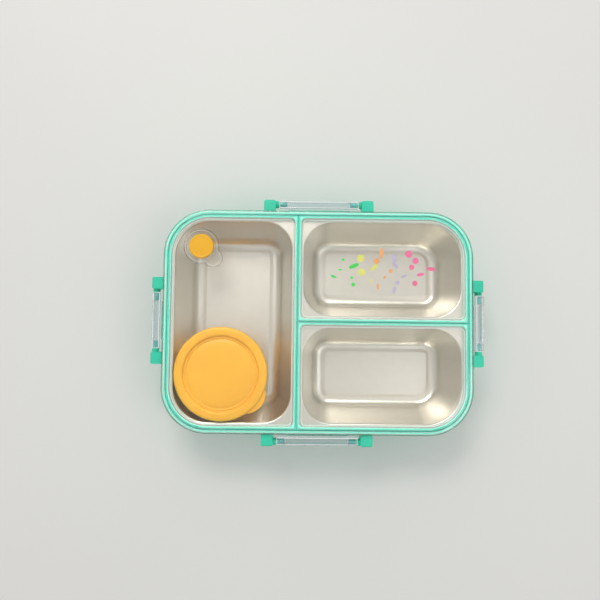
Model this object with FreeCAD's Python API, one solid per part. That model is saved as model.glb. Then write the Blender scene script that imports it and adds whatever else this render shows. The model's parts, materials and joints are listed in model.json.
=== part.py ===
import FreeCAD, Part
import math
import os

# Bento lunch box, in mm. +Z is up out of the lid, +X runs along the long side,
# and the origin is on the table under the middle of the box.

# Lid outline and overall height
lid_length = 258.0
lid_width = 185.5
lid_corner = 38.0
box_height = 60.0

# Lid sections
border_plate = 2.0
window_drop = 1.2
window_plate = 1.8
window_inset = 4.2
window_wall = 1.2
window_corner = 3.0
skirt_wall = 1.0
skirt_depth = 9.5
lid_edge_round = 1.2
catch_reach = 1.2
catch_height = 1.6

# Seal, measured from its centre line
seal_inset = 3.7
seal_band = 4.8
seal_height = 5.2
seal_inner_corner = 4.0
tongue_wall = 1.2
tongue_depth = 2.8
tongue_clearance = 0.1

# Dividers between the compartments
divider_x = -17.2
divider_y = 0.0

# Steel tray
sheet = 0.6
hem_depth = 1.6
rim_inset = 5.0
bowl_inner_corner = 24.0
bowl_draft = 11.0
bowl_floor_round = 7.0
bowl_rim_round = 1.6
pad_inset = 9.5
pad_height = 0.6
pad_slope = 3.0

# Outer shell
shell_wall = 2.0
shell_draft = 8.5
shell_base_round = 8.0
shell_floor = 2.0
foot_width = 14.0
foot_recess = 0.8
flange_height = 2.6

# Latches, lugs and pins: distances outward are from the lid's edge
long_span = 93.0
short_span = 73.0
lug_length = 10.0
lug_reach = 11.0
lug_height = 12.0
lug_round = 2.0
neck_length = 3.0
neck_radius = 3.0
pin_radius = 2.0
pin_grip = 6.0
pivot_out = 7.7
pivot_drop = 14.0
boss_radius = 3.3
boss_length = 7.5
latch_plate = 1.8
latch_web = 2.2
latch_top_out = 8.8
latch_top_drop = 0.5
latch_grip_count = 7
latch_grip_width = 1.6
latch_grip_height = 0.5

# Vent plug in the left window
vent_from_side = 30.9
vent_from_back = 30.55
vent_recess_radius = 13.0
vent_recess_depth = 3.4
vent_floor = 1.6
vent_wall = 1.6
vent_hole_radius = 2.7
vent_slot_radius = 1.2
vent_slot_count = 4
plug_radius = 10.3
plug_height = 3.0
plug_stem_clearance = 0.3
plug_barb_radius = 3.6
plug_barb_height = 3.0
plug_travel = 3.0
notch_radius = 6.2
notch_out = 13.9
notch_angle = -45.0

# Sauce pot
pot_base_radius = 28.0
pot_base_round = 6.0
pot_rim_radius = 35.75
pot_wall = 1.2
pot_bead = 0.9

# Sauce pot lid
pot_lid_skirt_wall = 2.2
pot_lid_skirt_depth = 4.6
pot_lid_cap = 2.4
pot_lid_rim_width = 9.0
pot_lid_step = 2.4
pot_lid_drop = 2.2
pot_lid_disc = 1.6
pot_lid_plug_wall = 1.2
pot_lid_plug_depth = 3.4
pot_lid_round = 1.1
tab_angle = -37.0
tab_reach = 4.2
tab_width = 26.0
tab_thick = 2.2
tab_rise = 0.8

# Clearances
lid_side_gap = 0.3
seat_gap = 0.1
running_gap = 0.05
side_gap = 0.3
catch_gap = 0.2
tray_floor_gap = 3.4
pot_head_gap = 0.6
pot_side_gap = 0.7
pot_front_gap = 0.9
fuse_lap = 0.5

half_length = lid_length / 2
half_width = lid_width / 2
seal_corner = lid_corner - seal_inset
skirt_bottom = box_height - skirt_depth
border_under = box_height - border_plate
window_top = box_height - window_drop
window_under = window_top - window_plate
seal_top = border_under - seat_gap
seal_bottom = seal_top - seal_height
deck_top = seal_bottom - seat_gap
deck_under = deck_top - sheet
rim_top = deck_under - seat_gap
hem_outer = skirt_wall + lid_side_gap
hem_inner = hem_outer + sheet
shell_rim = hem_inner + lid_side_gap
floor_top = foot_recess + shell_floor + tray_floor_gap + sheet
bowl_depth = deck_top - floor_top
pad_top = floor_top + pad_height
bowl_slope = bowl_draft / bowl_depth
bowl_lean = math.atan(bowl_slope)
shell_slope = shell_draft / rim_top
flange_top = min(skirt_bottom, deck_under - hem_depth) - lid_side_gap
pivot_z = box_height - pivot_drop
catch_tip = catch_reach + catch_gap
web_top = box_height - latch_top_drop
web_under = web_top - latch_web
catch_top = web_under - lid_side_gap - catch_gap - catch_reach / 2
vent_x = vent_from_side - half_length
vent_y = half_width - vent_from_back
recess_floor = window_top - vent_recess_depth
cup_under = recess_floor - vent_floor
pot_low = pad_top + seat_gap
pot_lid_seat = window_under - pot_head_gap - pot_lid_cap
pot_height = pot_lid_seat - seat_gap - pot_low
pot_lid_radius = pot_rim_radius + pot_bead + lid_side_gap + pot_lid_skirt_wall
pot_slope = (pot_rim_radius - pot_base_radius) / pot_height
bowl_edge = seal_inset + rim_inset
pot_x = bowl_edge + pot_side_gap + pot_lid_radius - half_length
pot_y = bowl_edge + pot_front_gap + pot_lid_radius - half_width

UP = FreeCAD.Vector(0, 0, 1)


def vec(x, y, z):
    return FreeCAD.Vector(x, y, z)


def corner_points(rect, radii):
    # Corner centres of a rounded rectangle with the angle at which each arc starts
    x0, x1, y0, y1 = rect
    a, b, c, d = radii
    return [
        (x0 + a, y0 + a, a, 180.0),
        (x1 - b, y0 + b, b, 270.0),
        (x1 - c, y1 - c, c, 0.0),
        (x0 + d, y1 - d, d, 90.0),
    ]


def on_circle(x, y, radius, angle, z):
    turn = math.radians(angle)
    return vec(x + radius * math.cos(turn), y + radius * math.sin(turn), z)


def outline(rect, radii, z):
    edges = []
    corners = corner_points(rect, radii)
    for i, (x, y, r, start) in enumerate(corners):
        first = on_circle(x, y, r, start, z)
        middle = on_circle(x, y, r, start + 45, z)
        last = on_circle(x, y, r, start + 90, z)
        edges.append(Part.Arc(first, middle, last).toShape())
        nx, ny, nr, nstart = corners[(i + 1) % 4]
        edges.append(Part.makeLine(last, on_circle(nx, ny, nr, nstart, z)))
    return Part.Wire(edges)


def prism(rect, radii, z0, z1):
    return Part.Face(outline(rect, radii, z0)).extrude(vec(0, 0, z1 - z0))


def drafted(rect, radii, z_top, z_low, inset):
    # Rounded rectangle that narrows evenly by the inset from its top down to z_low
    top = []
    low = []
    cones = []
    for x, y, r, start in corner_points(rect, radii):
        for angle in (start, start + 90):
            top.append(on_circle(x, y, r, angle, z_top))
            low.append(on_circle(x, y, r - inset, angle, z_low))
        cones.append(Part.makeCone(r - inset, r, z_top - z_low, vec(x, y, z_low)))
    faces = [Part.Face(Part.makePolygon(ring + ring[:1])) for ring in (top, low)]
    for i in range(len(top)):
        j = (i + 1) % len(top)
        faces.append(Part.Face(Part.makePolygon([top[i], top[j], low[j], low[i], top[i]])))
    core = Part.makeSolid(Part.makeShell(faces))
    if core.Volume < 0:
        core.reverse()
    return core.fuse(cones).removeSplitter()


def edges_at(shape, z):
    return [e for e in shape.Edges if abs(e.BoundBox.ZMin - z) < 1e-4 and abs(e.BoundBox.ZMax - z) < 1e-4]


def inner_edges(shape, z):
    # Edges at one height that stay clear of the box's own outline
    found = []
    for edge in edges_at(shape, z):
        box = edge.BoundBox
        reach_x = max(-box.XMin, box.XMax)
        reach_y = max(-box.YMin, box.YMax)
        if reach_x < half_length - seal_inset and reach_y < half_width - seal_inset:
            found.append(edge)
    return found


def drafted_bowl(rect, radii, z_top, z_low, inset, floor_round):
    bowl = drafted(rect, radii, z_top, z_low, inset)
    return bowl.makeFillet(floor_round, edges_at(bowl, z_low))


def lid_rect(inset):
    r = lid_corner - inset
    rect = (inset - half_length, half_length - inset, inset - half_width, half_width - inset)
    return rect, (r, r, r, r)


def cells(inset, inner):
    # The three compartments between the seal's centre lines, drawn in by the inset
    x0 = seal_inset - half_length + inset
    x1 = half_length - seal_inset - inset
    y0 = seal_inset - half_width + inset
    y1 = half_width - seal_inset - inset
    left = divider_x - inset
    right = divider_x + inset
    outer = seal_corner - inset
    return [
        ((x0, left, y0, y1), (outer, inner, inner, outer)),
        ((right, x1, divider_y + inset, y1), (inner, inner, outer, inner)),
        ((right, x1, y0, divider_y - inset), (inner, outer, inner, inner)),
    ]


def cell_prisms(inset, inner, z0, z1):
    return [prism(rect, radii, z0, z1) for rect, radii in cells(inset, inner)]


def network(outer_inset, cell_inset, inner, z0, z1):
    # Band that follows the edge of the lid and both dividers
    band = prism(*lid_rect(outer_inset), z0, z1)
    return band.cut(cell_prisms(cell_inset, inner, z0 - fuse_lap, z1 + fuse_lap))


def side_angle(side):
    return {"right": 0, "back": 90, "left": 180, "front": -90}[side]


def side_edge(side):
    return half_length if side in ("left", "right") else half_width


def side_span(side):
    return short_span if side in ("left", "right") else long_span


def to_side(shape, side):
    placed = shape.copy()
    placed.rotate(vec(0, 0, 0), UP, side_angle(side))
    return placed


def sheet_profile(points, y0, y1):
    # Closed outline in the plane across a side, drawn out along that side
    ring = [vec(x, y0, z) for x, z in points]
    return Part.Face(Part.makePolygon(ring + ring[:1])).extrude(vec(0, y1 - y0, 0))


def rod(x, z, radius, y0, y1):
    return Part.makeCylinder(radius, y1 - y0, vec(x, y0, z), vec(0, 1, 0))


def make_lug(side):
    edge = side_edge(side)
    inner = side_span(side) / 2 - lug_length
    outer = inner + lug_length
    top = pivot_z + lug_height / 2
    low = pivot_z - lug_height / 2
    x0 = edge + lid_side_gap
    block = Part.makeBox(lug_reach - lid_side_gap, lug_length, lug_height, vec(x0, inner, low))
    block = block.makeFillet(lug_round, [e for e in block.Edges if e.BoundBox.XMin > x0 + 1e-4])
    root = sheet_profile(
        [
            (edge - shell_rim - shell_wall, low - lug_height / 2),
            (edge + lug_reach / 2, low),
            (edge + lug_reach / 2, flange_top),
            (edge - shell_rim - shell_wall, flange_top),
        ],
        inner + lug_round,
        outer - lug_round,
    )
    neck = rod(edge + pivot_out, pivot_z, neck_radius, inner - neck_length, inner + fuse_lap)
    lug = block.fuse([root, neck])
    bore_radius = pin_radius + running_gap / 2
    return lug.cut(rod(edge + pivot_out, pivot_z, bore_radius, inner - lug_length, outer + fuse_lap))


def both_ends(shape):
    return [shape, shape.mirror(vec(0, 0, 0), vec(0, 1, 0))]


def make_shell():
    rect, radii = lid_rect(shell_rim)
    body = drafted_bowl(rect, radii, rim_top, 0, shell_draft, shell_base_round)
    body = body.fuse(prism(*lid_rect(lid_side_gap), flange_top - flange_height, flange_top))
    lugs = []
    for side in ("front", "back", "left", "right"):
        lugs += [to_side(lug, side) for lug in both_ends(make_lug(side))]
    body = body.fuse(lugs)
    rect, radii = lid_rect(shell_rim + shell_wall)
    floor = foot_recess + shell_floor
    inset = shell_slope * (rim_top - floor)
    inside = drafted_bowl(rect, radii, rim_top, floor, inset, shell_base_round - shell_wall)
    foot = prism(*lid_rect(shell_rim + shell_draft + foot_width), -1, foot_recess)
    return body.cut([inside, foot]).removeSplitter()


def tray_side(grow, corner_grow, z_top, z_floor, floor_round, pad_z):
    # The three bowls of one face of the sheet, each with its raised pad in the floor
    bowls = []
    inset = rim_inset - grow
    fall = bowl_slope * (z_top - z_floor)
    inner = bowl_inner_corner + corner_grow
    pads = cells(inset + fall + pad_inset, inner - fall - pad_inset)
    for (rect, radii), (pad_rect, pad_radii) in zip(cells(inset, inner), pads):
        bowl = drafted_bowl(rect, radii, z_top, z_floor, fall, floor_round)
        bowls.append(bowl.cut(drafted(pad_rect, pad_radii, pad_z, z_floor, -pad_slope)))
    return bowls


def make_tray():
    wall = sheet / math.cos(bowl_lean)
    inside = tray_side(0, 0, deck_top, floor_top, bowl_floor_round, pad_top)
    outside = tray_side(wall, wall, deck_top, floor_top - sheet, bowl_floor_round + sheet, pad_top - sheet)
    plate = prism(*lid_rect(hem_outer), deck_under - hem_depth, deck_top)
    plate = plate.makeFillet(sheet, edges_at(plate, deck_top))
    plate = plate.cut(prism(*lid_rect(hem_inner), deck_under - hem_depth, deck_under))
    above = prism(*lid_rect(0), deck_top, box_height).fuse(inside)
    above = above.makeFillet(bowl_rim_round, inner_edges(above, deck_top))
    below = prism(*lid_rect(hem_inner), deck_under, deck_top).fuse(outside).removeSplitter()
    below = below.makeFillet(bowl_rim_round - sheet, inner_edges(below, deck_under))
    return plate.fuse(below).cut(above).removeSplitter()


def make_lid():
    lid = prism(*lid_rect(0), skirt_bottom, box_height)
    lid = lid.makeFillet(lid_edge_round, edges_at(lid, box_height))
    under = prism(*lid_rect(skirt_wall), skirt_bottom, border_under)
    pads = cell_prisms(window_inset - window_wall, window_corner + window_wall, window_under, border_under)
    lid = lid.cut(under.cut(pads))
    lid = lid.cut(cell_prisms(window_inset, window_corner, window_top, box_height + 1))
    tongue = network(
        seal_inset - tongue_wall / 2,
        tongue_wall / 2,
        tongue_wall / 2,
        seal_top + seat_gap - tongue_depth,
        border_under + fuse_lap,
    )
    catches = [to_side(make_catch(side), side) for side in ("front", "back", "left", "right")]
    lid = lid.fuse([tongue, vent_cup()] + catches)
    return lid.cut(vent_cuts()).removeSplitter()


def latch_length(side):
    return side_span(side) - 2 * (lug_length + neck_length + side_gap)


def make_catch(side):
    # Low rib on the skirt that the latch's nose snaps over
    edge = side_edge(side)
    reach = latch_length(side) / 2 - boss_length
    points = [
        (edge - fuse_lap, catch_top),
        (edge + catch_reach, catch_top),
        (edge + catch_reach, catch_top - catch_height / 2),
        (edge, catch_top - catch_height),
        (edge - fuse_lap, catch_top - catch_height),
    ]
    return sheet_profile(points, -reach, reach)


def notch_centre():
    turn = math.radians(notch_angle)
    return vent_x + notch_out * math.cos(turn), vent_y + notch_out * math.sin(turn)


def vent_cup():
    x, y = notch_centre()
    height = window_top - cup_under - fuse_lap
    cup = Part.makeCylinder(vent_recess_radius + vent_wall, height, vec(vent_x, vent_y, cup_under))
    return cup.fuse(Part.makeCylinder(notch_radius + vent_wall, height, vec(x, y, cup_under)))


def vent_cuts():
    x, y = notch_centre()
    cuts = [
        Part.makeCylinder(vent_recess_radius, box_height, vec(vent_x, vent_y, recess_floor)),
        Part.makeCylinder(notch_radius, box_height, vec(x, y, recess_floor)),
        Part.makeCylinder(vent_hole_radius, box_height, vec(vent_x, vent_y, cup_under - 1)),
    ]
    ring = (vent_hole_radius + plug_radius) / 2
    for i in range(vent_slot_count):
        spot = on_circle(vent_x, vent_y, ring, 360 * i / vent_slot_count, cup_under - 1)
        cuts.append(Part.makeCylinder(vent_slot_radius, box_height, spot))
    return cuts


def make_seal():
    half = seal_band / 2
    seal = network(seal_inset - half, half, seal_inner_corner, seal_bottom, seal_top)
    groove_half = tongue_wall / 2 + tongue_clearance
    groove = network(
        seal_inset - groove_half,
        groove_half,
        groove_half,
        seal_top - tongue_depth,
        seal_top + 1,
    )
    return seal.cut(groove)


def make_latch(side):
    edge = side_edge(side)
    half = latch_length(side) / 2
    x = edge + pivot_out
    low = pivot_z - boss_radius
    low_out = edge + pivot_out + boss_radius
    top_out = edge + latch_top_out
    nose = edge + catch_tip
    body = sheet_profile(
        [
            (low_out, low + latch_plate),
            (low_out, pivot_z),
            (top_out, web_top - latch_web / 2),
            (top_out - latch_web / 2, web_top),
            (nose + latch_web / 2, web_top),
            (nose, web_under + latch_web / 3),
            (nose, web_under),
            (top_out - latch_plate, web_under),
            (low_out - latch_plate, pivot_z),
            (low_out - latch_plate, low),
            (low_out - latch_plate / 2, low),
        ],
        -half,
        half,
    )
    pieces = both_ends(rod(x, pivot_z, boss_radius, half - boss_length, half))
    cheek_out = low_out - latch_plate / 2
    high = pivot_z + boss_radius
    corners = [(x, low), (cheek_out, low), (cheek_out, high), (x, high)]
    pieces += both_ends(sheet_profile(corners, half - boss_length, half))
    pieces += grip_ribs(edge, half)
    latch = body.fuse(pieces)
    bore = rod(x, pivot_z, pin_radius + running_gap, half - pin_grip - side_gap, half + 1)
    return latch.cut(both_ends(bore)).removeSplitter()


def grip_ribs(edge, half):
    ribs = []
    low_out = edge + pivot_out + boss_radius
    top_out = edge + latch_top_out
    pitch = 2 * (half - boss_length) / (latch_grip_count + 1)
    for i in range(latch_grip_count):
        y = boss_length - half + pitch * (i + 1)
        points = [
            (low_out - fuse_lap, pivot_z),
            (low_out + latch_grip_height, pivot_z + latch_plate),
            (top_out + latch_grip_height, web_under - latch_plate),
            (top_out - fuse_lap, web_under),
        ]
        ribs.append(sheet_profile(points, y - latch_grip_width / 2, y + latch_grip_width / 2))
    return ribs


def make_pin(side):
    x = side_edge(side) + pivot_out
    outer = side_span(side) / 2
    inner = outer - lug_length - neck_length - side_gap - pin_grip
    pin = rod(x, pivot_z, pin_radius, inner, outer)
    return pin.makeChamfer(pin_radius / 5, [e for e in pin.Edges if e.BoundBox.YLength < 1e-4])


def turned(points, x, y):
    ring = [vec(r, 0, z) for r, z in points]
    face = Part.Face(Part.makePolygon(ring + ring[:1]))
    solid = face.revolve(vec(0, 0, 0), UP, 360)
    solid.translate(vec(x, y, 0))
    return solid


def make_plug():
    low = recess_floor + seat_gap
    top = low + plug_height
    stem = vent_hole_radius - plug_stem_clearance
    barb_top = cup_under - plug_travel - seat_gap
    disc = Part.makeCylinder(plug_radius, plug_height, vec(vent_x, vent_y, low))
    disc = disc.makeFillet(plug_height / 3, edges_at(disc, top))
    points = [
        (0, low + fuse_lap),
        (stem, low + fuse_lap),
        (stem, barb_top),
        (plug_barb_radius, barb_top),
        (stem, barb_top - plug_barb_height),
        (0, barb_top - plug_barb_height),
    ]
    return disc.fuse(turned(points, vent_x, vent_y)).removeSplitter()


def make_pot():
    cup = Part.makeCone(pot_base_radius, pot_rim_radius, pot_height, vec(0, 0, pot_low))
    cup = cup.makeFillet(pot_base_round, edges_at(cup, pot_low))
    inside_low = pot_low + pot_wall
    inside = Part.makeCone(
        pot_base_radius - pot_wall,
        pot_rim_radius - pot_wall,
        pot_height - pot_wall,
        vec(0, 0, inside_low),
    )
    inside = inside.makeFillet(pot_base_round - pot_wall, edges_at(inside, inside_low))
    bead = Part.makeTorus(pot_rim_radius, pot_bead, vec(0, 0, pot_low + pot_height - pot_bead))
    cup = cup.fuse(bead).cut(inside)
    cup.translate(vec(pot_x, pot_y, 0))
    return cup.removeSplitter()


def make_pot_lid():
    seat = pot_lid_seat
    top = seat + pot_lid_cap
    disc_top = top - pot_lid_drop
    rim_in = pot_lid_radius - pot_lid_rim_width
    step_in = rim_in - pot_lid_step
    skirt_in = pot_lid_radius - pot_lid_skirt_wall
    plug_out = pot_rim_radius - pot_wall - pot_slope * pot_lid_plug_depth - lid_side_gap
    plug_in = plug_out - pot_lid_plug_wall
    points = [
        (0, disc_top - pot_lid_disc),
        (step_in + pot_lid_disc, disc_top - pot_lid_disc),
        (plug_in, seat - pot_lid_plug_depth / 2),
        (plug_in, seat - pot_lid_plug_depth),
        (plug_out, seat - pot_lid_plug_depth),
        (plug_out, seat),
        (skirt_in, seat),
        (skirt_in, seat - pot_lid_skirt_depth),
        (pot_lid_radius - pot_lid_skirt_wall / 2, seat - pot_lid_skirt_depth),
        (pot_lid_radius, seat),
        (pot_lid_radius, top - pot_lid_round),
        (pot_lid_radius - pot_lid_round, top),
        (rim_in, top),
        (step_in, disc_top),
        (0, disc_top),
    ]
    lid = turned(points, 0, 0).fuse(pot_tab(seat, skirt_in))
    lid.translate(vec(pot_x, pot_y, 0))
    return lid.removeSplitter()


def pot_tab(seat, skirt_in):
    # Rounded lip that swells out of the skirt over the tab's width
    half = tab_width / 2
    chord = math.sqrt(pot_lid_radius ** 2 - half ** 2)
    bulge = pot_lid_radius + tab_reach - chord
    radius = (half ** 2 + bulge ** 2) / (2 * bulge)
    low = seat + tab_rise - tab_thick
    tab = Part.makeCylinder(radius, tab_thick, vec(chord + bulge - radius, 0, low))
    tab = tab.makeFillet(tab_thick / 3, edges_at(tab, low) + edges_at(tab, low + tab_thick))
    tab = tab.cut(Part.makeCylinder(skirt_in, 2 * tab_thick, vec(0, 0, low - tab_thick / 2)))
    tab.rotate(vec(0, 0, 0), UP, tab_angle)
    return tab


def save(shape, node):
    shape.exportStep("parts/" + node + ".step")
    print(node, len(shape.Solids), round(shape.Volume, 1))


def main():
    os.makedirs("parts", exist_ok=True)
    save(make_shell(), "outer_shell")
    save(make_tray(), "steel_tray")
    save(make_lid(), "lid_panel")
    save(make_seal(), "lid_seal")
    pin_ends = {
        "front": ("right", "left"),
        "back": ("left", "right"),
        "left": ("front", "back"),
        "right": ("back", "front"),
    }
    for side, names in pin_ends.items():
        save(to_side(make_latch(side), side), side + "_latch")
        for pin, name in zip(both_ends(make_pin(side)), names):
            save(to_side(pin, side), side + "_latch_pin_" + name)
    save(make_plug(), "vent_plug")
    save(make_pot(), "sauce_pot")
    save(make_pot_lid(), "sauce_pot_lid")


main()
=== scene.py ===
import bmesh
import bpy
import json
import math
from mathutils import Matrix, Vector
from mathutils.bvhtree import BVHTree

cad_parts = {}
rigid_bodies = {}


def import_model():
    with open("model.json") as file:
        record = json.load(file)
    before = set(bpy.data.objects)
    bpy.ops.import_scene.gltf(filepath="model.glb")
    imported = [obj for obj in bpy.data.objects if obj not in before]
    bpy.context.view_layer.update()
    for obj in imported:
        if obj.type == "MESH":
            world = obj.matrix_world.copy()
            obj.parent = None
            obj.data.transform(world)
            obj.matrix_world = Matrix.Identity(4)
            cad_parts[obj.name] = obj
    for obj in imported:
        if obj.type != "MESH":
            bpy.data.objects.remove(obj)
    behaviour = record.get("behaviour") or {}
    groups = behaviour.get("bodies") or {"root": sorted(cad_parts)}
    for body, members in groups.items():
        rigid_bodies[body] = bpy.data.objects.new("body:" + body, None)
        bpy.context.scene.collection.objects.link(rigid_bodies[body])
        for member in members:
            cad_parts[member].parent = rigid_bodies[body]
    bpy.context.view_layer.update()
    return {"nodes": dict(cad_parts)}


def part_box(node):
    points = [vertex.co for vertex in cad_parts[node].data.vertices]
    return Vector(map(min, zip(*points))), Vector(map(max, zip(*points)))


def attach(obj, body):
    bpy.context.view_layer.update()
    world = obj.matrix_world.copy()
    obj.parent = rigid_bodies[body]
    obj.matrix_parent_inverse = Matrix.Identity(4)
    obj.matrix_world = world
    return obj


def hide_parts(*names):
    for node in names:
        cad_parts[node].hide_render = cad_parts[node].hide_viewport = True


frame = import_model()
nodes = frame["nodes"]
mm = 0.001
print("frame loaded,", len(nodes), "nodes")


# small helpers for working in object and edit mode

def deselectAll():
    if bpy.context.mode != "OBJECT":
        bpy.ops.object.mode_set(mode="OBJECT")
    bpy.ops.object.select_all(action="DESELECT")


def makeActive(piece):
    deselectAll()
    piece.select_set(True)
    bpy.context.view_layer.objects.active = piece


def applyModifier(piece, modifier):
    makeActive(piece)
    bpy.ops.object.modifier_apply(modifier=modifier.name)


# gives weight to the outward corners alone, so that only they are rounded
def markCorners(piece, angle):
    form = bmesh.new()
    form.from_mesh(piece.data)
    weight = form.edges.layers.float.new("bevel_weight_edge")
    for edge in form.edges:
        if edge.is_convex and edge.calc_face_angle(0) > math.radians(angle):
            edge[weight] = 1
    form.to_mesh(piece.data)
    form.free()


def roundEdges(piece, width, segments, angle, slot=-1, outward=False):
    if outward:
        markCorners(piece, angle)
    bevel = piece.modifiers.new("edgeRound", "BEVEL")
    bevel.width = width * mm
    bevel.segments = segments
    bevel.limit_method = "WEIGHT" if outward else "ANGLE"
    bevel.angle_limit = math.radians(angle)
    bevel.use_clamp_overlap = False
    bevel.material = slot
    applyModifier(piece, bevel)


def smoothShade(piece, angle):
    makeActive(piece)
    bpy.ops.object.shade_smooth_by_angle(angle=math.radians(angle))
    even = piece.modifiers.new("evenNormals", "WEIGHTED_NORMAL")
    even.keep_sharp = True
    applyModifier(piece, even)


def setMaterial(piece, *materials):
    piece.data.materials.clear()
    for material in materials:
        piece.data.materials.append(material)


def dressNode(node, material):
    for slot in nodes[node].material_slots:
        slot.material = material


def mountPiece(piece, body, node):
    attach(piece, body)
    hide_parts(node)


# node groups shared by the materials

def newGroup(name, inputs, outputs):
    group = bpy.data.node_groups.new(name, "ShaderNodeTree")
    for label, kind, value in inputs:
        socket = group.interface.new_socket(name=label, in_out="INPUT", socket_type=kind)
        if value is not None:
            socket.default_value = value
    for label, kind in outputs:
        group.interface.new_socket(name=label, in_out="OUTPUT", socket_type=kind)
    start = group.nodes.new("NodeGroupInput")
    end = group.nodes.new("NodeGroupOutput")
    return group, start, end


def addNoise(tree, detail, rough):
    noise = tree.nodes.new("ShaderNodeTexNoise")
    noise.inputs["Detail"].default_value = detail
    noise.inputs["Roughness"].default_value = rough
    return noise


def addRange(tree, low, high):
    remap = tree.nodes.new("ShaderNodeMapRange")
    remap.inputs["From Min"].default_value = low
    remap.inputs["From Max"].default_value = high
    return remap


def addColourMix(tree):
    mix = tree.nodes.new("ShaderNodeMix")
    mix.data_type = "RGBA"
    return mix


# moulded skin: slow colour drift, fine grain in the gloss and the surface
skinPattern = {
    "driftDetail": 2.5,
    "driftRough": 0.55,
    "driftRange": (0.35, 0.7),
    "grainDetail": 3.0,
    "grainRough": 0.6,
    "grainRange": (0.3, 0.7),
}


def makeMouldedSkin(setup):
    group, start, end = newGroup(
        "mouldedSkin",
        [
            ("Vector", "NodeSocketVector", None),
            ("Colour", "NodeSocketColor", (0.8, 0.8, 0.8, 1)),
            ("Shade", "NodeSocketColor", (0.6, 0.6, 0.6, 1)),
            ("Drift Scale", "NodeSocketFloat", 18.0),
            ("Grain Scale", "NodeSocketFloat", 900.0),
            ("Rough Low", "NodeSocketFloat", 0.3),
            ("Rough High", "NodeSocketFloat", 0.45),
        ],
        [("Colour", "NodeSocketColor"), ("Roughness", "NodeSocketFloat"), ("Height", "NodeSocketFloat")],
    )
    link = group.links.new
    drift = addNoise(group, setup["driftDetail"], setup["driftRough"])
    grain = addNoise(group, setup["grainDetail"], setup["grainRough"])
    blend = addRange(group, *setup["driftRange"])
    gloss = addRange(group, *setup["grainRange"])
    mix = addColourMix(group)
    link(start.outputs["Vector"], drift.inputs["Vector"])
    link(start.outputs["Vector"], grain.inputs["Vector"])
    link(start.outputs["Drift Scale"], drift.inputs["Scale"])
    link(start.outputs["Grain Scale"], grain.inputs["Scale"])
    link(drift.outputs["Fac"], blend.inputs["Value"])
    link(blend.outputs["Result"], mix.inputs["Factor"])
    link(start.outputs["Colour"], mix.inputs["A"])
    link(start.outputs["Shade"], mix.inputs["B"])
    link(grain.outputs["Fac"], gloss.inputs["Value"])
    link(start.outputs["Rough Low"], gloss.inputs["To Min"])
    link(start.outputs["Rough High"], gloss.inputs["To Max"])
    link(mix.outputs["Result"], end.inputs["Colour"])
    link(gloss.outputs["Result"], end.inputs["Roughness"])
    link(grain.outputs["Fac"], end.inputs["Height"])
    return group


# handling marks: faint smudges in the gloss
smudgePattern = {"detail": 4.0, "rough": 0.6, "range": (0.35, 0.7)}


def makeHandlingMarks(setup):
    group, start, end = newGroup(
        "handlingMarks",
        [
            ("Vector", "NodeSocketVector", None),
            ("Smudge Scale", "NodeSocketFloat", 35.0),
            ("Rough Low", "NodeSocketFloat", 0.02),
            ("Rough High", "NodeSocketFloat", 0.08),
        ],
        [("Roughness", "NodeSocketFloat")],
    )
    link = group.links.new
    smudge = addNoise(group, setup["detail"], setup["rough"])
    spread = addRange(group, *setup["range"])
    link(start.outputs["Vector"], smudge.inputs["Vector"])
    link(start.outputs["Smudge Scale"], smudge.inputs["Scale"])
    link(smudge.outputs["Fac"], spread.inputs["Value"])
    link(start.outputs["Rough Low"], spread.inputs["To Min"])
    link(start.outputs["Rough High"], spread.inputs["To Max"])
    link(spread.outputs["Result"], end.inputs["Roughness"])
    return group


mouldedSkin = makeMouldedSkin(skinPattern)
handlingMarks = makeHandlingMarks(smudgePattern)


def newMaterial(name):
    material = bpy.data.materials.new(name)
    material.use_nodes = True
    tree = material.node_tree
    tree.nodes.clear()
    out = tree.nodes.new("ShaderNodeOutputMaterial")
    shader = tree.nodes.new("ShaderNodeBsdfPrincipled")
    coords = tree.nodes.new("ShaderNodeTexCoord")
    tree.links.new(shader.outputs["BSDF"], out.inputs["Surface"])
    return material, tree, shader, coords


def placeGroup(tree, group, coords, values):
    node = tree.nodes.new("ShaderNodeGroup")
    node.node_tree = group
    tree.links.new(coords.outputs["Object"], node.inputs["Vector"])
    for label, value in values.items():
        node.inputs[label].default_value = value
    return node


def addBump(tree, shader, height, distance, strength):
    bump = tree.nodes.new("ShaderNodeBump")
    bump.inputs["Distance"].default_value = distance * mm
    bump.inputs["Strength"].default_value = strength
    tree.links.new(height, bump.inputs["Height"])
    tree.links.new(bump.outputs["Normal"], shader.inputs["Normal"])


bumpStrength = {"moulded": 0.5, "seal": 0.4, "steel": 0.25}


def makeMoulded(name, setup):
    material, tree, shader, coords = newMaterial(name)
    skin = placeGroup(tree, mouldedSkin, coords, {
        "Colour": (*setup["colour"], 1),
        "Shade": (*setup["shade"], 1),
        "Drift Scale": setup["driftScale"],
        "Grain Scale": setup["grainScale"],
        "Rough Low": setup["roughLow"],
        "Rough High": setup["roughHigh"],
    })
    tree.links.new(skin.outputs["Colour"], shader.inputs["Base Color"])
    tree.links.new(skin.outputs["Roughness"], shader.inputs["Roughness"])
    shader.inputs["IOR"].default_value = setup["ior"]
    addBump(tree, shader, skin.outputs["Height"], setup["bump"], bumpStrength["moulded"])
    return material


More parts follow.
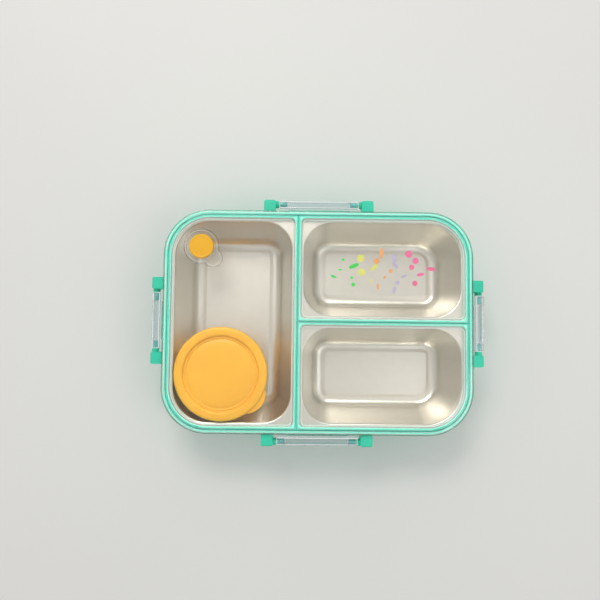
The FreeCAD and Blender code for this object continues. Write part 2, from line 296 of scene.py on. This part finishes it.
shellFinish = {
    "colour": (0.045, 0.70, 0.47),
    "shade": (0.030, 0.60, 0.40),
    "driftScale": 22.0,
    "grainScale": 1100.0,
    "roughLow": 0.30,
    "roughHigh": 0.44,
    "ior": 1.49,
    "bump": 0.02,
}
pinFinish = {
    "colour": (0.22, 0.86, 0.68),
    "shade": (0.14, 0.74, 0.56),
    "driftScale": 60.0,
    "grainScale": 1300.0,
    "roughLow": 0.28,
    "roughHigh": 0.40,
    "ior": 1.49,
    "bump": 0.015,
}
orangeFinish = {
    "colour": (0.905, 0.475, 0.018),
    "shade": (0.87, 0.43, 0.014),
    "driftScale": 26.0,
    "grainScale": 1000.0,
    "roughLow": 0.33,
    "roughHigh": 0.46,
    "ior": 1.45,
    "bump": 0.02,
}
shellPlastic = makeMoulded("shellPlastic", shellFinish)
pinPlastic = makeMoulded("pinPlastic", pinFinish)
orangeSilicone = makeMoulded("orangeSilicone", orangeFinish)


# silicone seal: lips painted paler, a painted highlight for their lit tops, either side of a deeper green
# groove that is partly the silicone's own green and partly painted shade, told apart by the distance to
# the groove
sealFinish = {
    # the lip colours hold a painted highlight for the lit tops; the groove colour is partly the
    # silicone's own green and partly painted shade
    "lip": (0.37, 0.92, 0.75),
    "lipShade": (0.31, 0.87, 0.70),
    "groove": (0.002, 0.71, 0.54),
    "nearest": 0.98,  # mm from the flat of the groove's floor
    "furthest": 1.12,
    "driftScale": 40.0,
    "grainScale": 1200.0,
    "roughLow": 0.40,
    "roughHigh": 0.55,
    "ior": 1.43,
    "specular": 0.25,
    "bump": 0.02,
}


def makeSealFinish(setup):
    material, tree, shader, coords = newMaterial("sealSilicone")
    gap = tree.nodes.new("ShaderNodeAttribute")
    gap.attribute_name = "grooveGap"
    # this mix paints the groove's shade and the lips' highlight apart by their distance to the groove
    edge = addRange(tree, setup["nearest"] * mm, setup["furthest"] * mm)
    mix = addColourMix(tree)
    mix.inputs["A"].default_value = (*setup["groove"], 1)
    skin = placeGroup(tree, mouldedSkin, coords, {
        "Colour": (*setup["lip"], 1),
        "Shade": (*setup["lipShade"], 1),
        "Drift Scale": setup["driftScale"],
        "Grain Scale": setup["grainScale"],
        "Rough Low": setup["roughLow"],
        "Rough High": setup["roughHigh"],
    })
    tree.links.new(gap.outputs["Fac"], edge.inputs["Value"])
    tree.links.new(edge.outputs["Result"], mix.inputs["Factor"])
    tree.links.new(skin.outputs["Colour"], mix.inputs["B"])
    tree.links.new(mix.outputs["Result"], shader.inputs["Base Color"])
    tree.links.new(skin.outputs["Roughness"], shader.inputs["Roughness"])
    shader.inputs["IOR"].default_value = setup["ior"]
    shader.inputs["Specular IOR Level"].default_value = setup["specular"]
    addBump(tree, shader, skin.outputs["Height"], setup["bump"], bumpStrength["seal"])
    return material


sealSilicone = makeSealFinish(sealFinish)


# drawn stainless sheet: warm grey, satin, with faint draw lines down the walls
steelFinish = {
    "light": (0.79, 0.753, 0.686),
    "dark": (0.725, 0.69, 0.624),
    "roughLow": 0.33,
    "roughHigh": 0.375,
    "smudgeScale": 16.0,
    "drawScale": 140.0,
    "drawDetail": 3.0,
    "drawRough": 0.55,
    "drawStretch": (1.0, 1.0, 0.05),
    "bump": 0.004,
}


def makeSteelFinish(setup):
    material, tree, shader, coords = newMaterial("drawnSteel")
    marks = placeGroup(tree, handlingMarks, coords, {
        "Smudge Scale": setup["smudgeScale"],
        "Rough Low": setup["roughLow"],
        "Rough High": setup["roughHigh"],
    })
    stretch = tree.nodes.new("ShaderNodeMapping")
    stretch.inputs["Scale"].default_value = setup["drawStretch"]
    draw = addNoise(tree, setup["drawDetail"], setup["drawRough"])
    draw.inputs["Scale"].default_value = setup["drawScale"]
    tone = addColourMix(tree)
    tone.inputs["A"].default_value = (*setup["light"], 1)
    tone.inputs["B"].default_value = (*setup["dark"], 1)
    tree.links.new(coords.outputs["Object"], stretch.inputs["Vector"])
    tree.links.new(stretch.outputs["Vector"], draw.inputs["Vector"])
    tree.links.new(draw.outputs["Fac"], tone.inputs["Factor"])
    tree.links.new(tone.outputs["Result"], shader.inputs["Base Color"])
    tree.links.new(marks.outputs["Roughness"], shader.inputs["Roughness"])
    shader.inputs["Metallic"].default_value = 1.0
    addBump(tree, shader, draw.outputs["Fac"], setup["bump"], bumpStrength["steel"])
    return material


drawnSteel = makeSteelFinish(steelFinish)


# clear moulded plastic that lets the lamps through
def makeClear(name, setup):
    material, tree, shader, coords = newMaterial(name)
    marks = placeGroup(tree, handlingMarks, coords, {
        "Smudge Scale": setup["smudgeScale"],
        "Rough Low": setup["roughLow"],
        "Rough High": setup["roughHigh"],
    })
    shader.inputs["Base Color"].default_value = (*setup["tint"], 1)
    shader.inputs["Transmission Weight"].default_value = setup["clearness"]
    shader.inputs["IOR"].default_value = setup["ior"]
    tree.links.new(marks.outputs["Roughness"], shader.inputs["Roughness"])
    rays = tree.nodes.new("ShaderNodeLightPath")
    through = tree.nodes.new("ShaderNodeBsdfTransparent")
    through.inputs["Color"].default_value = (*setup["tint"], 1)
    mix = tree.nodes.new("ShaderNodeMixShader")
    tree.links.new(rays.outputs["Is Shadow Ray"], mix.inputs[0])
    tree.links.new(shader.outputs["BSDF"], mix.inputs[1])
    tree.links.new(through.outputs["BSDF"], mix.inputs[2])
    tree.links.new(mix.outputs["Shader"], tree.nodes["Material Output"].inputs["Surface"])
    return material


lidFinish = {
    "tint": (0.985, 0.99, 0.985),
    "clearness": 1.0,
    "roughLow": 0.0,
    "roughHigh": 0.012,
    "smudgeScale": 30.0,
    "ior": 1.49,
}
latchFinish = {
    "tint": (0.80, 0.85, 0.89),
    "clearness": 1.0,
    "roughLow": 0.01,
    "roughHigh": 0.04,
    "smudgeScale": 60.0,
    "ior": 1.49,
}
# moulded corners painted a frosted white, a painted highlight for the light they catch, so they read as
# fine white lines
edgeHighlightFinish = {
    "tint": (0.98, 0.99, 0.985),
    "clearness": 0.12,
    "roughLow": 0.28,
    "roughHigh": 0.36,
    "smudgeScale": 90.0,
    "ior": 1.49,
}
lidClear = makeClear("lidClear", lidFinish)
latchClear = makeClear("latchClear", latchFinish)
paintedEdgeHighlight = makeClear("paintedEdgeHighlight", edgeHighlightFinish)
print("materials made")


# CAD nodes whose shape stays as it is

dressNode("outer_shell", shellPlastic)
dressNode("steel_tray", drawnSteel)
dressNode("sauce_pot", orangeSilicone)
latchEnds = {
    "front": ("left", "right"),
    "back": ("left", "right"),
    "left": ("front", "back"),
    "right": ("front", "back"),
}
for side, ends in latchEnds.items():
    for end in ends:
        dressNode(side + "_latch_pin_" + end, pinPlastic)
print("shell, tray, pot and pins dressed")


# copies of CAD nodes with their moulded edges rounded
levelAngle = 0.3  # degrees, faces that differ by less become one


def roundedCopy(node, name, setup, *materials):
    piece = bpy.data.objects.new(name, nodes[node].data.copy())
    bpy.context.scene.collection.objects.link(piece)
    makeActive(piece)
    bpy.ops.mesh.customdata_custom_splitnormals_clear()
    bpy.ops.object.mode_set(mode="EDIT")
    bpy.ops.mesh.select_all(action="SELECT")
    bpy.ops.mesh.remove_doubles(threshold=setup["merge"] * mm)
    bpy.ops.mesh.dissolve_limited(angle_limit=math.radians(levelAngle))
    bpy.ops.object.mode_set(mode="OBJECT")
    skin = BVHTree.FromPolygons([v.co.copy() for v in piece.data.vertices],
                                [list(face.vertices) for face in piece.data.polygons])
    setMaterial(piece, *materials)
    # the rounded faces take the last material, which on the lid and latches is the painted edge highlight
    roundEdges(piece, setup["width"], setup["segments"], setup["angle"],
               len(materials) - 1, setup["outward"])
    furthest = setup["strayShare"] * setup["width"] * mm
    for vertex in piece.data.vertices:  # mitres that run past a corner go back to the skin
        spot, _, _, gap = skin.find_nearest(vertex.co)
        if gap > furthest:
            vertex.co = spot
    smoothShade(piece, setup["smooth"])
    return piece


# stores on each point of the seal how far it lies, in plan, from the groove's floor
def markGroove(seal, setup):
    low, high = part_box("lid_seal")
    margin = setup["floorMargin"] * mm
    floors = [face for face in seal.data.polygons
              if face.normal.z > setup["floorLevel"] and low.z + margin < face.center.z < high.z - margin]
    flat = [Vector((v.co.x, v.co.y, 0)) for v in seal.data.vertices]
    tree = BVHTree.FromPolygons(flat, [list(face.vertices) for face in floors])
    gaps = seal.data.attributes.new("grooveGap", "FLOAT", "POINT")
    for point, spot in zip(gaps.data, flat):
        point.value = tree.find_nearest(spot)[3]
    print("groove found under", len(floors), "faces of the seal")


sealShape = {
    "merge": 0.25,  # mm, takes out edges too short to round
    "width": 0.6,
    "segments": 4,
    "angle": 40,
    "outward": False,
    "strayShare": 0.32,  # of the width, past which a rounded point has strayed
    "smooth": 35,
    "floorLevel": 0.9,  # upward part of the normal of the groove's floor
    "floorMargin": 0.5,
}
sealRing = roundedCopy("lid_seal", "sealRing", sealShape, sealSilicone)
markGroove(sealRing, sealShape)
mountPiece(sealRing, "lid", "lid_seal")

lidShape = {
    "merge": 0.002,
    "width": 0.3,
    "segments": 2,
    "angle": 60,
    "outward": False,
    "strayShare": 0.32,
    "smooth": 60,
}
lidCover = roundedCopy("lid_panel", "lidCover", lidShape, lidClear, paintedEdgeHighlight)
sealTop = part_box("lid_seal")[1].z
for face in lidCover.data.polygons:
    if face.center.z < sealTop:  # the tongue and the skirt stay clear all round
        face.material_index = 0
mountPiece(lidCover, "lid", "lid_panel")

latchShape = {
    "merge": 0.002,
    "width": 0.35,
    "segments": 2,
    "angle": 25,
    "outward": True,
    "strayShare": 0.32,
    "smooth": 35,
}
for side in latchEnds:
    latch = roundedCopy(side + "_latch", side + "Latch", latchShape, latchClear, paintedEdgeHighlight)
    mountPiece(latch, "latch_" + side, side + "_latch")
print("seal, lid and latches rounded")


# turned pieces: one ring of edges drawn up and in along the profile, (radius, height) in mm

def turnedPiece(name, x, y, z, profile, segments):
    deselectAll()
    radius, height = profile[0]
    bpy.ops.mesh.primitive_circle_add(
        vertices=segments, radius=radius * mm, fill_type="NGON", location=(x, y, z + height * mm))
    piece = bpy.context.object
    piece.name = name
    bpy.ops.object.transform_apply(location=True, rotation=True, scale=True)
    bpy.ops.object.mode_set(mode="EDIT")
    bpy.ops.mesh.select_all(action="SELECT")
    for nextRadius, nextHeight in profile[1:]:
        bpy.ops.mesh.extrude_region_move(
            TRANSFORM_OT_translate={"value": (0, 0, (nextHeight - height) * mm)})
        grow = nextRadius / radius
        bpy.ops.transform.resize(value=(grow, grow, 1), center_override=(x, y, z + nextHeight * mm))
        radius, height = nextRadius, nextHeight
    bpy.ops.mesh.select_all(action="SELECT")
    bpy.ops.mesh.normals_make_consistent(inside=False)
    bpy.ops.object.mode_set(mode="OBJECT")
    return piece


potLidShape = {
    "segments": 128,
    "profile": [
        (2, -3.8), (29.3, -3.8), (32.5, -4.2), (32.5, -5.4), (32.8, -5.8), (33.4, -5.8), (33.68, -5.5),
        (33.68, -2.4), (36.95, -2.4), (36.95, -6.8), (37.2, -7.0), (37.8, -7.0), (38.1, -6.8),
        (38.6, -4.8), (39.1, -2.6), (39.1, -1.7), (38.8, -1.0), (38.2, -0.45), (37.3, -0.12),
        (36.2, 0), (34.6, 0), (33.4, -0.02), (32.5, -0.15), (31.9, -0.45), (31.55, -1.1), (31.3, -2.1),
        (31.05, -2.5), (30.7, -2.62), (30.35, -2.45), (30.1, -2.2), (29.8, -2.1), (29.5, -2.2),
        (29.25, -2.5), (28.9, -2.75), (28.5, -2.72), (28.1, -2.5), (27.3, -2.2), (26, -1.92),
        (23, -1.62), (18, -1.42), (10, -1.32), (2, -1.28),
    ],
    "rimRadius": 39.1,
    "skirtInside": 37.2,
    "tabAngle": -37.0,
    "tabReach": 4.2,
    "tabWidth": 26.0,
    "tabThick": 2.2,
    "tabDrop": 1.6,
    "tabSides": 160,
    "tabRound": (0.8, 4, 50),  # width, segments and angle
    "coreDepth": 20.0,
    "smooth": 50,
}


def joinShapes(piece, other, operation):
    join = piece.modifiers.new("join", "BOOLEAN")
    join.operation = operation
    join.solver = "EXACT"
    join.object = other
    applyModifier(piece, join)
    bpy.data.objects.remove(other)


# pull tab: a disc whose outer part swells out of the skirt, cut away inside it
def makePotLidTab(x, y, top, setup):
    half = setup["tabWidth"] / 2
    chord = math.sqrt(setup["rimRadius"] ** 2 - half ** 2)
    bulge = setup["rimRadius"] + setup["tabReach"] - chord
    radius = (half ** 2 + bulge ** 2) / (2 * bulge)
    turn = math.radians(setup["tabAngle"])
    reach = (chord + bulge - radius) * mm
    level = top - (setup["tabDrop"] + setup["tabThick"] / 2) * mm
    deselectAll()
    bpy.ops.mesh.primitive_cylinder_add(
        vertices=setup["tabSides"], radius=radius * mm, depth=setup["tabThick"] * mm,
        location=(x + reach * math.cos(turn), y + reach * math.sin(turn), level))
    tab = bpy.context.object
    tab.name = "potLidTab"
    bpy.ops.object.transform_apply(location=True, rotation=True, scale=True)
    roundEdges(tab, *setup["tabRound"])
    deselectAll()
    bpy.ops.mesh.primitive_cylinder_add(
        vertices=setup["segments"], radius=setup["skirtInside"] * mm,
        depth=setup["coreDepth"] * mm, location=(x, y, level))
    core = bpy.context.object
    joinShapes(tab, core, "DIFFERENCE")
    return tab


def makePotLid(setup):
    low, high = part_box("sauce_pot")
    x, y = (low.x + high.x) / 2, (low.y + high.y) / 2
    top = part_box("sauce_pot_lid")[1].z
    lid = turnedPiece("potLid", x, y, top, setup["profile"], setup["segments"])
    tab = makePotLidTab(x, y, top, setup)
    joinShapes(lid, tab, "UNION")
    smoothShade(lid, setup["smooth"])
    return lid


potLid = makePotLid(potLidShape)
setMaterial(potLid, orangeSilicone)
mountPiece(potLid, "pot_lid", "sauce_pot_lid")

plugShape = {
    "segments": 96,
    "smooth": 50,
    "profile": [
        (1.2, -10.8), (2.2, -10.75), (2.5, -10.4), (3.5, -8.1), (3.55, -7.9), (3.4, -7.8), (2.4, -7.8),
        (2.4, -3.0), (9.8, -3.0), (10.2, -2.8), (10.3, -2.4), (10.3, -0.9), (10.15, -0.4), (9.8, -0.1),
        (9.3, 0), (8.9, -0.02), (8.6, -0.15), (8.3, -0.25), (7.8, -0.28), (4.0, -0.22), (1.0, -0.2),
    ],
}


def makeVentPlug(setup):
    low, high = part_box("vent_plug")
    x, y = (low.x + high.x) / 2, (low.y + high.y) / 2
    plug = turnedPiece("ventPlug", x, y, high.z, setup["profile"], setup["segments"])
    smoothShade(plug, setup["smooth"])
    return plug


ventPlug = makeVentPlug(plugShape)
setMaterial(ventPlug, orangeSilicone)
mountPiece(ventPlug, "vent", "vent_plug")
print("pot lid and vent plug turned")


# confetti print on the upper right window: dots and petals, each colour in its own stretch

printShape = {
    "count": 26,
    "centre": (54.0, 43.0),
    "spread": (44.0, 17.0),
    "sizes": (1.7, 2.6, 1.2, 2.2, 3.0),
    "inkReach": 0.72,
    "windowDrop": 1.2,
    "thick": 0.06,
    "lift": 0.01,
    "petalStretch": (1.5, 0.6, 1),
    "sides": 40,
}
inkColours = {
    "leafInk": (0.10, 0.80, 0.14),
    "lemonInk": (0.86, 0.86, 0.20),
    "peachInk": (0.95, 0.48, 0.20),
    "lilacInk": (0.60, 0.54, 0.78),
    "roseInk": (0.93, 0.20, 0.38),
}
inkFinish = {
    "driftScale": 90.0,
    "grainScale": 1500.0,
    "roughLow": 0.35,
    "roughHigh": 0.5,
    "ior": 1.45,
    "bump": 0.005,
}
inkShade = 0.85
goldenTurn = math.pi * (3 - math.sqrt(5))


def makeInk(name, colour):
    shade = tuple(c * inkShade for c in colour)
    return makeMoulded(name, {**inkFinish, "colour": colour, "shade": shade})


def makeConfetti(setup, inks):
    piece = bpy.data.objects.new("confettiPrint", bpy.data.meshes.new("confettiPrint"))
    bpy.context.scene.collection.objects.link(piece)
    setMaterial(piece, *[makeInk(name, colour) for name, colour in inks.items()])
    makeActive(piece)
    bpy.ops.object.mode_set(mode="EDIT")
    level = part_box("lid_panel")[1].z - (setup["windowDrop"] - setup["lift"]) * mm
    for i in range(setup["count"]):
        # sunflower spacing keeps the dots apart without lining them up
        out = math.sqrt((i + 0.5) / setup["count"])
        turn = i * goldenTurn
        across = out * math.cos(turn)
        x = (setup["centre"][0] + setup["spread"][0] * across) * mm
        y = (setup["centre"][1] + setup["spread"][1] * out * math.sin(turn)) * mm
        radius = setup["sizes"][i % len(setup["sizes"])] * mm
        bpy.ops.mesh.select_all(action="DESELECT")
        bpy.ops.mesh.primitive_circle_add(
            vertices=setup["sides"], radius=radius, fill_type="NGON", location=(x, y, level))
        if i % 2:
            bpy.ops.transform.resize(value=setup["petalStretch"], center_override=(x, y, level))
            bpy.ops.transform.rotate(value=turn, orient_axis="Z", center_override=(x, y, level))
        bpy.ops.mesh.extrude_region_move(TRANSFORM_OT_translate={"value": (0, 0, setup["thick"] * mm)})
        bpy.ops.mesh.select_linked()
        shade = int((across / setup["inkReach"] + 1) / 2 * len(inks))
        piece.active_material_index = min(max(shade, 0), len(inks) - 1)
        bpy.ops.object.material_slot_assign()
    bpy.ops.mesh.select_all(action="SELECT")
    bpy.ops.mesh.normals_make_consistent(inside=False)
    bpy.ops.object.mode_set(mode="OBJECT")
    return piece


confettiPrint = makeConfetti(printShape, inkColours)
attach(confettiPrint, "lid")
print("confetti printed on the lid")


# floor, light and camera

floorSetup = {"size": 8.0, "drop": 0.2}
floorFinish = {
    "colour": (0.80, 0.80, 0.79),
    "shade": (0.77, 0.77, 0.765),
    "driftScale": 2.0,
    "grainScale": 300.0,
    "roughLow": 0.6,
    "roughHigh": 0.75,
    "ior": 1.4,
    "bump": 0.01,
}


def makeFloor(setup, finish):
    deselectAll()
    bpy.ops.mesh.primitive_plane_add(size=setup["size"], location=(0, 0, -setup["drop"] * mm))
    floor = bpy.context.object
    floor.name = "floor"
    bpy.ops.object.transform_apply(location=True, rotation=True, scale=True)
    setMaterial(floor, makeMoulded("paleFloor", finish))


def addSoftbox(name, place, aim, size, power, colour):
    deselectAll()
    bpy.ops.object.light_add(type="AREA", location=place)
    lamp = bpy.context.object
    lamp.name = name
    lamp.data.shape = "RECTANGLE"
    lamp.data.size, lamp.data.size_y = size
    lamp.data.energy = power
    lamp.data.color = colour
    lamp.rotation_euler = (Vector(aim) - Vector(place)).to_track_quat("-Z", "Y").to_euler()


lightSetup = {
    "horizon": (0.50, 0.50, 0.50),
    "zenith": (0.70, 0.69, 0.665),
    "softboxes": [
        ("keyBox", (-0.25, 0.80, 1.15), (0, 0, 0.03), (0.6, 0.4), 6.0, (1.0, 0.98, 0.94)),
        ("fillBox", (0.65, -0.30, 1.1), (0, 0, 0.03), (0.6, 0.6), 1.5, (0.97, 0.98, 1.0)),
    ],
}


def makeLight(setup):
    world = bpy.data.worlds.new("studio")
    bpy.context.scene.world = world
    world.use_nodes = True
    tree = world.node_tree
    coords = tree.nodes.new("ShaderNodeTexCoord")
    split = tree.nodes.new("ShaderNodeSeparateXYZ")
    ramp = tree.nodes.new("ShaderNodeValToRGB")
    ramp.color_ramp.elements[0].color = (*setup["horizon"], 1)
    ramp.color_ramp.elements[1].color = (*setup["zenith"], 1)
    tree.links.new(coords.outputs["Generated"], split.inputs["Vector"])
    tree.links.new(split.outputs["Z"], ramp.inputs["Fac"])
    tree.links.new(ramp.outputs["Color"], tree.nodes["Background"].inputs["Color"])
    for box in setup["softboxes"]:
        addSoftbox(*box)


cameraSetup = {
    "place": (-0.01816, -0.01149, 0.5708),
    "turn": (3.289, -0.374, 0.648),  # degrees, nearly straight down
    "lens": 37.07,
    "sensor": 36.0,
    "clipStart": 0.01,
}


def makeCamera(setup):
    deselectAll()
    bpy.ops.object.camera_add(location=setup["place"], rotation=[math.radians(a) for a in setup["turn"]])
    camera = bpy.context.object
    camera.name = "photoCamera"
    camera.data.lens = setup["lens"]
    camera.data.sensor_width = setup["sensor"]
    camera.data.clip_start = setup["clipStart"]
    bpy.context.scene.camera = camera


makeFloor(floorSetup, floorFinish)
makeLight(lightSetup)
makeCamera(cameraSetup)
bpy.context.scene.view_settings.view_transform = "Standard"
print("floor, light and camera set")
